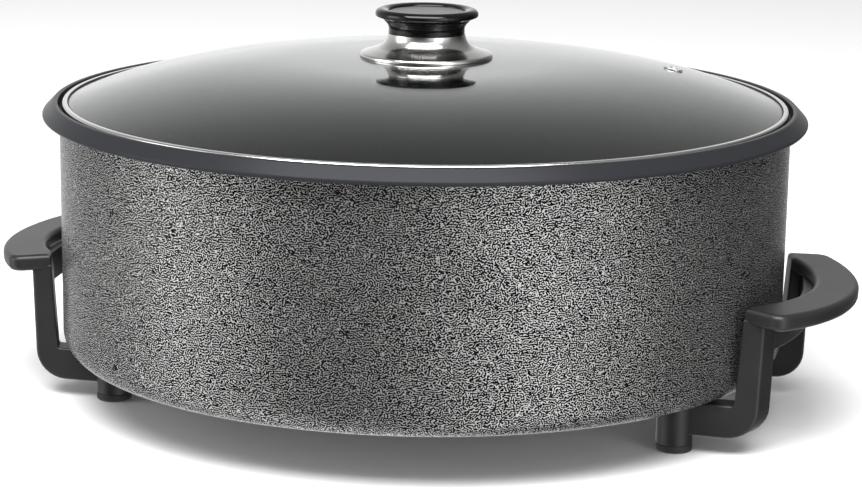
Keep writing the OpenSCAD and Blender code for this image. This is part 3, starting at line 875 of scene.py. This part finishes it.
def grip_outline(sizes):
    """Plan of the grip: two arcs, two slanted ends and the edge that follows the pan."""
    reach = HANDLE_HIGH.x + 0.3 * MM
    grip_depth = 24 * MM
    outer_radius = 128.3 * MM
    inner_radius = 98.2 * MM
    outer_x = reach - outer_radius
    inner_x = reach - grip_depth - inner_radius
    pan_side = 207.25 * MM
    end_y = sizes.leg_side - 1 * MM
    end_slant = math.tan(math.radians(20.9))
    root_x = math.sqrt(pan_side**2 - sizes.leg_side**2)
    tip = (root_x + 0.3 * MM, end_y)
    corner_x = 214.6 * MM
    corner = (corner_x, end_y + (corner_x - root_x) * end_slant)
    outer_margin = math.radians(5.5)
    inner_margin = math.radians(6)
    outer_turn = math.degrees(math.asin(corner[1] / outer_radius) - outer_margin)
    cross = (pan_side**2 - inner_x**2 - inner_radius**2) / (2 * inner_x * inner_radius)
    inner_end = math.acos(cross)
    inner_turn = math.degrees(inner_end - inner_margin)
    outer = arc((outer_x, 0), outer_radius, -outer_turn, outer_turn, 40)
    inner = arc((inner_x, 0), inner_radius, inner_turn, -inner_turn, 30)
    meet_x = inner_x + inner_radius * math.cos(inner_end)
    meet_y = inner_radius * math.sin(inner_end)
    upper = [(*corner, 10 * MM), (*tip, 1 * MM), (meet_x, meet_y, 14 * MM)]
    lower = [(x, -y, r) for x, y, r in reversed(upper)]
    return [(*p, 0) for p in outer] + upper + [(*p, 0) for p in inner] + lower


def cone_radius(level, low_radius, high_radius):
    """Radius at a height of a cone, given at the arms' top and at the handle's top."""
    share = (level - ARM_TOP) / (HANDLE_HIGH.z - ARM_TOP)
    return low_radius + (high_radius - low_radius) * share


def leg_parts(sizes, side):
    """Vertices and faces of the leg, with its arm, on one side: 1 for +Y, -1 for -Y."""
    face_low = 203.8 * MM
    face_high = 207.3 * MM
    arm_end = 168 * MM
    arm_low = 9.7 * MM
    knee = 16 * MM
    edge = 1.3 * MM
    top = HANDLE_HIGH.z - 6 * MM
    corners = [
        (arm_end, arm_low),
        (LEG_OUTER_LOW - 0.3 * MM, arm_low, knee),
        (cone_radius(top, LEG_OUTER_LOW, LEG_OUTER_HIGH), top),
        (cone_radius(top, face_low, face_high), top),
        (face_low, ARM_TOP, 1.5 * MM),
        (arm_end, ARM_TOP),
    ]
    near = sizes.leg_side - sizes.leg_width
    vertices, faces = slab(corners, near, sizes.leg_side, edge, edge)
    placed = [(math.sqrt(r * r - y * y), side * y, z) for r, z, y in vertices]
    return placed, faces


def apron_parts(sizes):
    """Vertices and faces of the curved wall between the legs."""
    drop = 15.7 * MM
    overlap = 1 * MM
    low = HANDLE_HIGH.z - sizes.grip_thickness - drop
    high = HANDLE_HIGH.z - sizes.grip_thickness + overlap
    outer_low = cone_radius(low, LEG_OUTER_LOW, LEG_OUTER_HIGH)
    outer_high = cone_radius(high, LEG_OUTER_LOW, LEG_OUTER_HIGH)
    thickness = 5.5 * MM
    section = rounded(
        [
            (outer_low - thickness, low, 1.6 * MM),
            (outer_low, low, 1.6 * MM),
            (outer_high, high, 0.5 * MM),
            (outer_high - thickness, high, 0.5 * MM),
        ],
        closed=True,
    )
    half = math.asin((sizes.leg_side - sizes.leg_width / 2) / outer_low)
    steps = 36
    vertices = []
    for k in range(steps + 1):
        turn = -half + 2 * half * k / steps
        vertices += [(r * math.cos(turn), r * math.sin(turn), z) for r, z in section]
    return vertices, ring_faces(len(section), steps + 1)


def column_corners(sizes):
    """Half profile of a foot column, bored for its screw and its rubber plug."""
    plug_bore = 5.8 * MM
    screw_bore = 2.8 * MM
    boss_bore = 6.8 * MM
    low = PAD_LOW.z + 4 * MM
    clamp = 18.7 * MM
    clamp_top = clamp + 4 * MM
    return [
        (plug_bore, low, 0.3 * MM),
        (sizes.foot_radius, low, 0.6 * MM),
        (sizes.foot_radius, ARM_TOP, 0.6 * MM),
        (boss_bore, ARM_TOP, 0.3 * MM),
        (boss_bore, clamp_top),
        (screw_bore, clamp_top),
        (screw_bore, clamp),
        (plug_bore, clamp),
    ]


def foot_places(sizes):
    """Centres of the foot columns, on the floor."""
    x = PAD_HIGH.x - sizes.foot_radius
    y = PAD_HIGH.y - sizes.foot_radius
    return [(side * x, end * y, 0) for side in (-1, 1) for end in (-1, 1)]


class SKILLET_OT_handles(bpy.types.Operator):
    """Build both moulded handles: grip, apron, legs with their arms, and foot columns."""

    bl_idname = "skillet.handles"
    bl_label = "Handles"

    def execute(self, context):
        sizes = context.scene.skillet_sizes
        black = handle_black()
        top = HANDLE_HIGH.z
        low_edge = 3.5 * MM
        top_edge = 3 * MM
        underside = top - sizes.grip_thickness
        plate = slab(grip_outline(sizes), underside, top, low_edge, top_edge, steps=7)
        right = new_piece("handle_right_moulding", *plate)
        root_x = 193.6 * MM
        grip_slope = 3.3
        pivot = Matrix.Translation((root_x, 0, top))
        slope = Matrix.Rotation(math.radians(grip_slope), 4, "Y")
        right.data.transform(pivot @ slope @ pivot.inverted())
        members = [new_piece("apron", *apron_parts(sizes))]
        for side in (1, -1):
            members.append(new_piece("leg", *leg_parts(sizes, side)))
        for place in foot_places(sizes):
            if place[0] > 0:
                column = lathe("column", column_corners(sizes), black, 64, closed=True, steps=4)
                column.data.transform(Matrix.Translation(place))
                members.append(column)
        for member in [right] + members:
            tidy(member, black)
        for member in members:
            union = right.modifiers.new(member.name, "BOOLEAN")
            union.operation = "UNION"
            union.solver = "EXACT"
            union.object = member
        keep_modified(right)
        for member in members:
            bpy.data.objects.remove(member)
        tidy(right, black)
        flat = right.modifiers.new("flat", "WEIGHTED_NORMAL")
        flat.keep_sharp = True
        keep_modified(right)
        left = right.copy()
        left.name = "handle_left_moulding"
        left.data = right.data.copy()
        context.scene.collection.objects.link(left)
        left.data.transform(Matrix.Rotation(math.pi, 4, "Z"))
        place_piece(right, BASE, "phenolic", "handle_right")
        place_piece(left, BASE, "phenolic", "handle_left")
        return {"FINISHED"}


class SKILLET_OT_feet(bpy.types.Operator):
    """Build the rubber foot pads."""

    bl_idname = "skillet.feet"
    bl_label = "Foot pads"

    def execute(self, context):
        sizes = context.scene.skillet_sizes
        radius = sizes.foot_radius
        dimple = 0.35 * MM
        dimple_radius = 5.2 * MM
        dimple_edge = 5.6 * MM
        plug = 5.7 * MM
        thick = 4 * MM
        plug_top = thick + 3 * MM
        corners = [
            (0, dimple),
            (dimple_radius, dimple, 0.3 * MM),
            (dimple_edge, 0, 0.3 * MM),
            (radius, 0, 1.5 * MM),
            (radius, thick, 0.3 * MM),
            (plug, thick, 0.3 * MM),
            (plug, plug_top, 0.6 * MM),
            (0, plug_top),
        ]
        rubber = soft_rubber()
        pad = lathe("pad", corners, rubber, 72)
        pads = repeated("foot_pads_rubber", pad, foot_places(sizes), rubber)
        place_piece(pads, BASE, "pad_rubber", "foot_pads")
        return {"FINISHED"}


# ---- Inlet and hidden pieces ----


class SKILLET_OT_inlet(bpy.types.Operator):
    """Build the inlet's screws and pins, and finish the pieces that the CAD frame carries."""

    bl_idname = "skillet.inlet"
    bl_label = "Inlet"

    def execute(self, context):
        zinc = zinc_plating()
        nickel = plated_metal("nickel plating", (0.70, 0.68, 0.62), 0.22)
        brass = turned_brass()
        steel = plated_metal("pressed steel sheet", (0.58, 0.58, 0.58), 0.36)
        board = pressed_powder("insulating board", (0.55, 0.47, 0.33), 0.7)
        level = (PIN_LOW.z + PIN_HIGH.z) / 2
        along = Matrix.Rotation(-math.pi / 2, 4, "Y")

        pin_length = 12.5 * MM
        pin = [
            (0, 0),
            (PIN_RADIUS, 0, 0.1 * MM),
            (PIN_RADIUS, pin_length, 1.2 * MM),
            (0, pin_length),
        ]
        head = 2.7 * MM
        head_side = 1.1 * MM
        head_height = 1.95 * MM
        head_depth = 2 * MM
        screw = [
            (0, 0),
            (head, 0, 0.2 * MM),
            (head, head_side, 0.8 * MM),
            (head_side, head_height, 1.0 * MM),
            (0, head_height),
        ]
        pin_place = (PIN_LOW.x + pin_length, PIN_HIGH.y - PIN_RADIUS)
        screw_place = (SCREW_LOW.x + head_depth, SCREW_HIGH.y - head)
        for name, corners, facets, metal, (x, y), slot, node in (
            ("terminal_pin_sleeves", pin, 48, nickel, pin_place, "plated_pins", "terminal_pins"),
            ("inlet_screw_heads", screw, 40, zinc, screw_place, "screw_steel", "inlet_screws"),
        ):
            single = lathe("single", corners, metal, facets)
            single.data.transform(along)
            pair = repeated(name, single, [(x, -y, level), (x, y, level)], metal)
            place_piece(pair, BASE, slot, node)

        dress(steel, "inlet_shroud")
        dress(board, "inlet_plate")
        dress(brass, "probe_guide")
        dress(pressed_powder("seal ceramic", (0.80, 0.77, 0.70), 0.6), "end_seals")
        dress(pressed_powder("packed mineral", (0.80, 0.79, 0.75), 0.85), "element_filling")
        dress(plated_metal("annealed sheath", (0.30, 0.28, 0.26), 0.45), "element_sheath")
        dress(plated_metal("oxidised wire", (0.32, 0.30, 0.28), 0.5), "element_coil")
        dress(zinc, "handle_screws", "handle_washers")
        return {"FINISHED"}


# ---- Lid ----


def dome_arcs(sizes):
    """Centre and radius of the crown and of the shoulder, and the turn at which they meet."""
    crown = sizes.crown_radius
    turn = math.asin(sizes.crown_reach / crown)
    drop = crown * (1 - math.cos(turn))
    width = sizes.dome_edge - sizes.crown_reach
    height = sizes.dome_rise - drop
    shoulder = (width**2 + height**2) / (2 * (height * math.cos(turn) - width * math.sin(turn)))
    apex = GLASS_HIGH.z
    middle_x = sizes.crown_reach - shoulder * math.sin(turn)
    middle_z = apex - drop - shoulder * math.cos(turn)
    return ((0, apex - crown), crown), ((middle_x, middle_z), shoulder), turn


def dome_face(sizes, depth, start, stop):
    """Points along the glass at a depth below its outer face, from the crown to the edge."""
    (crown_middle, crown), (middle, shoulder), turn = dome_arcs(sizes)
    seam = 90 - math.degrees(turn)
    first = 90 - math.degrees(math.asin(start / (crown - depth)))
    last = 90 - math.degrees(math.asin((stop - middle[0]) / (shoulder - depth)))
    inner = arc(crown_middle, crown - depth, first, seam, 16)
    return inner[:-1] + arc(middle, shoulder - depth, seam, last, 32)


class SKILLET_OT_lid(bpy.types.Operator):
    """Build the domed glass, its steel band and the vent eyelet, and finish the liner."""

    bl_idname = "skillet.lid"
    bl_label = "Lid"

    def execute(self, context):
        sizes = context.scene.skillet_sizes
        edge = GLASS_HIGH.x
        hole = 4 * MM
        thick = sizes.glass_thickness
        upper = dome_face(sizes, 0, hole, edge)
        lower = dome_face(sizes, thick, hole, edge)
        glass = lathe("lid_dome", upper + lower[::-1], toughened_glass(), closed=True)
        place_piece(glass, LID, "tempered_glass", "lid_glass")

        outer = BAND_HIGH.x
        inner = outer - sizes.band_width
        low = BAND_LOW.z
        high = BAND_HIGH.z
        strip = sizes.band_strip
        section = [
            (inner, high - strip, 0.12 * MM),
            (inner, high, 0.3 * MM),
            (outer, high, 1.4 * MM),
            (outer, low, 1.2 * MM),
            (inner, low, 0.2 * MM),
            (inner, low + strip, 0.12 * MM),
            (outer - strip, low + strip, 0.7 * MM),
            (outer - strip, high - strip, 0.9 * MM),
        ]
        steel = polished_steel()
        band = lathe("lid_band_steel", section, steel, closed=True, hold=0.15 * MM)
        place_piece(band, LID, "polished_steel", "lid_band")

        bore = 2 * MM
        shank = 3.4 * MM
        flange = 5.5 * MM
        gap = 0.1 * MM
        proud = 0.9 * MM
        section = [
            (bore, proud, 0.8 * MM),
            (flange, proud, 0.7 * MM),
            (flange, gap, 0.1 * MM),
            (shank, gap),
            (shank, -thick - gap),
            (flange, -thick - gap, 0.1 * MM),
            (flange, -thick - proud, 0.6 * MM),
            (bore, -thick - proud, 0.6 * MM),
        ]
        eyelet = lathe("vent_eyelet_steel", section, steel, 64, closed=True, hold=0.1 * MM)
        vent = (VENT_LOW + VENT_HIGH) / 2
        _, (middle, shoulder), _ = dome_arcs(sizes)
        reach = math.hypot(vent.x, vent.y) - middle[0]
        tilt = math.asin(reach / (shoulder - thick / 2))
        eyelet.data.transform(
            Matrix.Rotation(math.atan2(vent.y, vent.x), 4, "Z")
            @ Matrix.Translation((middle[0], 0, middle[1]))
            @ Matrix.Rotation(tilt, 4, "Y")
            @ Matrix.Translation((0, 0, shoulder))
        )
        place_piece(eyelet, LID, "polished_steel", "vent_eyelet")
        dress(soft_rubber(), "lid_liner")
        return {"FINISHED"}


class SKILLET_OT_knob(bpy.types.Operator):
    """Build the knob's cap, inlaid disc and steel guard, and finish its fasteners."""

    bl_idname = "skillet.knob"
    bl_label = "Knob"

    def execute(self, context):
        sizes = context.scene.skillet_sizes
        top = CAP_HIGH.z
        reach = CAP_HIGH.x
        waist = sizes.waist_radius
        seat = GUARD_HIGH.z
        neck = seat + 0.05 * MM
        stem = sizes.knob_stem
        gap = 0.1 * MM
        recess = DISC_HIGH.x + gap
        flare = top - 9.6 * MM
        ridge = 23.3 * MM
        ridge_low = top - 7.0 * MM
        ridge_middle = top - 6.7 * MM
        ridge_high = top - 6.2 * MM
        shoulder = top - 4.0 * MM
        half = (reach - recess) / 2
        crest = reach - half
        outer_rise = 2.8 * MM
        inner_rise = top - DISC_HIGH.z - gap
        brim = [(crest + half * u, top - outer_rise * (1 - v)) for u, v in arc((0, 0), 1, 0, 90)]
        inward = arc((0, 0), 1, 90, 180)[1:]
        brim += [(crest + half * u, top - inner_rise * (1 - v)) for u, v in inward]
        profile = [
            (0, CAP_LOW.z),
            (stem, CAP_LOW.z, 0.3 * MM),
            (stem, neck, 0.3 * MM),
            (waist, neck, 0.4 * MM),
            (waist, flare, 6 * MM),
            (ridge, ridge_low, 0.3 * MM),
            (ridge + 0.5 * MM, ridge_middle, 0.3 * MM),
            (ridge + 0.4 * MM, ridge_high, 0.3 * MM),
            (reach, shoulder, 1.4 * MM),
            *brim,
            (recess, DISC_LOW.z, 0.2 * MM),
            (0, DISC_LOW.z),
        ]
        cap = lathe("knob_cap", profile, knob_gloss(), 144, steps=10)
        place_piece(cap, LID, "knob_phenolic", "knob_grip")

        profile = [
            (0, DISC_LOW.z),
            (DISC_HIGH.x, DISC_LOW.z, 0.2 * MM),
            (DISC_HIGH.x, DISC_HIGH.z, 0.4 * MM),
            (0, DISC_HIGH.z),
        ]
        disc = lathe("knob_disc_inlay", profile, knob_disc_finish(), 144)
        place_piece(disc, LID, "disc_plastic", "knob_disc")

        sheet = 0.8 * MM
        slope = 17
        tilt = math.radians(slope)
        throat_radius = 9.5 * MM
        throat_rise = 0.9 * MM
        throat = (waist + throat_radius + 0.3 * MM, seat + throat_rise)
        start = 180 + math.degrees(math.asin(throat_rise / throat_radius))
        stop = 270 - slope
        rim = 1.6 * MM
        skirt_x = throat[0] - throat_radius * math.sin(tilt)
        skirt_z = throat[1] - throat_radius * math.cos(tilt)
        edge_x = GUARD_HIGH.x - rim
        drop = (edge_x + rim * math.sin(tilt) - skirt_x) * math.tan(tilt)
        edge = (edge_x, skirt_z - drop - rim * math.cos(tilt))
        foot = GUARD_LOW.z
        bore = stem + 0.05 * MM
        section = [
            (bore, seat),
            *arc(throat, throat_radius, start, stop, 24),
            *arc(edge, rim, 90 - slope, 0, 8),
            (edge_x + rim, foot),
            (edge_x + rim - sheet, foot),
            *arc(edge, rim - sheet, 0, 90 - slope, 8),
            *arc(throat, throat_radius + sheet, stop, start + 4, 24),
            (bore, seat - sheet),
        ]
        guard = lathe("knob_guard_steel", section, polished_steel(), 192, closed=True)
        place_piece(guard, LID, "polished_steel", "knob_guard")

        dress(zinc_plating(), "knob_screw", "knob_washer")
        dress(turned_brass(), "knob_insert")
        dress(soft_rubber(), "knob_seals")
        return {"FINISHED"}


# ---- Stage ----


def softbox(name, place, target, width, height, power, mirrored):
    """A rectangular area light that faces the target. Mirrored, it shows in metal and glass."""
    light = bpy.data.lights.new(name, "AREA")
    light.shape = "RECTANGLE"
    light.size = width
    light.size_y = height
    light.energy = power
    lamp = bpy.data.objects.new(name, light)
    bpy.context.scene.collection.objects.link(lamp)
    facing = (Vector(target) - Vector(place)).to_track_quat("-Z", "Y")
    lamp.matrix_world = Matrix.Translation(place) @ facing.to_matrix().to_4x4()
    lamp.visible_glossy = mirrored
    lamp.visible_transmission = mirrored


def studio_air():
    """A room, dim overhead, with lit panels low at the left, the front right and the back."""
    world = bpy.data.worlds.new("studio")
    world.use_nodes = True
    graph = Graph(world.node_tree)
    way = graph.node("ShaderNodeTexCoord").output("Generated")
    split = graph.node("ShaderNodeSeparateXYZ", inputs={0: way})
    turn_cosine = 0.964
    turn_sine = 0.267
    rightwards = split * turn_cosine + split.output("Y") * turn_sine
    forwards = split * turn_sine - split.output("Y") * turn_cosine
    turn = graph.maths("ARCTAN2", rightwards, forwards)
    panorama = graph.node(
        "ShaderNodeValToRGB", {"stops": PANORAMA}, {"Fac": turn / math.tau + 0.5}
    )
    ceiling = 0.24
    ground_glow = 0.25
    climb = graph.step(split.output("Z"), -0.1, 0.86)
    ground = graph.step(split.output("Z"), -0.3, -0.7, 0.0, ground_glow)
    background = world.node_tree.nodes["Background"]
    background.inputs["Color"].default_value = (1, 1, 1, 1)
    light = panorama + climb * (ceiling - panorama) + ground
    world.node_tree.links.new(light.socket, background.inputs["Strength"])
    bpy.context.scene.world = world


class SKILLET_OT_stage(bpy.types.Operator):
    """Set the pale floor, the soft lights and the camera."""

    bl_idname = "skillet.stage"
    bl_label = "Stage"

    def execute(self, context):
        scene = context.scene
        half = 14.0
        steps = 8
        span = [-half + 2 * half * i / steps for i in range(steps + 1)]
        corners = [(x, y, 0) for y in span for x in span]
        row = steps + 1
        faces = [
            (j * row + i, j * row + i + 1, (j + 1) * row + i + 1, (j + 1) * row + i)
            for j in range(steps)
            for i in range(steps)
        ]
        floor = new_piece("studio_floor", corners, faces)
        floor.data.materials.append(studio_floor())
        floor.visible_glossy = False
        studio_air()
        middle = (0, 0, 0.12)
        behind = (0, 6, 0)
        for name, place, target, width, height, power, mirrored in (
            ("backdrop", (0, 6, 4), behind, 8, 5, 90, False),
            ("fill", (0.4, -2.4, 0.45), (0, 0, 0), 2.4, 0.6, 12, False),
            ("overhead", (0.1, -1.15, 2.2), middle, 2.8, 1.6, 140, True),
            ("left", (-2.0, -0.91, 0.8), middle, 1.2, 1.2, 10, True),
            ("right_front", (1.74, -1.34, 0.9), middle, 0.8, 1.2, 6, True),
        ):
            softbox(name, place, target, width, height, power, mirrored)

        camera_turn = math.radians(15.5)
        camera_drop = math.radians(12.277)
        camera_roll = math.radians(0.877)
        camera_distance = 1.59433
        camera_target = Vector((4.03, 1.12, 84.38)) * MM
        camera = bpy.data.objects.new("camera", bpy.data.cameras.new("camera"))
        scene.collection.objects.link(camera)
        camera.data.sensor_width = 36.0
        camera.data.lens = 118.89
        upright = Matrix.Rotation(math.pi / 2 - camera_drop, 4, "X")
        roll = Matrix.Rotation(camera_roll, 4, "Z")
        turned = Matrix.Rotation(camera_turn, 4, "Z") @ upright @ roll
        back = turned.to_3x3() @ Vector((0, 0, 1))
        camera.matrix_world = Matrix.Translation(camera_target + back * camera_distance) @ turned
        scene.camera = camera
        scene.view_settings.view_transform = "Standard"
        return {"FINISHED"}


# ---- Add-on ----

OPERATORS = (
    SKILLET_OT_stage,
    SKILLET_OT_pan,
    SKILLET_OT_handles,
    SKILLET_OT_feet,
    SKILLET_OT_inlet,
    SKILLET_OT_lid,
    SKILLET_OT_knob,
)


class SKILLET_PT_sidebar(bpy.types.Panel):
    """Lists the skillet's pieces, sizes and colours."""

    bl_idname = "SKILLET_PT_sidebar"
    bl_label = "Electric skillet"
    bl_space_type = "VIEW_3D"
    bl_region_type = "UI"
    bl_category = "Skillet"

    def draw(self, context):
        layout = self.layout
        for operator in OPERATORS:
            layout.operator(operator.bl_idname)
        for group in (context.scene.skillet_sizes, context.scene.skillet_colours):
            box = layout.box()
            for name in group.__annotations__:
                box.prop(group, name)


CLASSES = (SkilletSizes, SkilletColours, *OPERATORS, SKILLET_PT_sidebar)


def register():
    """Adds the classes, and the sizes and colours of each scene."""
    for kind in CLASSES:
        bpy.utils.register_class(kind)
    bpy.types.Scene.skillet_sizes = PointerProperty(type=SkilletSizes)
    bpy.types.Scene.skillet_colours = PointerProperty(type=SkilletColours)


def unregister():
    """Takes back what register adds."""
    del bpy.types.Scene.skillet_colours
    del bpy.types.Scene.skillet_sizes
    for kind in reversed(CLASSES):
        bpy.utils.unregister_class(kind)


def main():
    """Builds everything."""
    register()
    for operator in OPERATORS:
        group, name = operator.bl_idname.split(".")
        getattr(getattr(bpy.ops, group), name)()


if __name__ == "__main__":
    main()
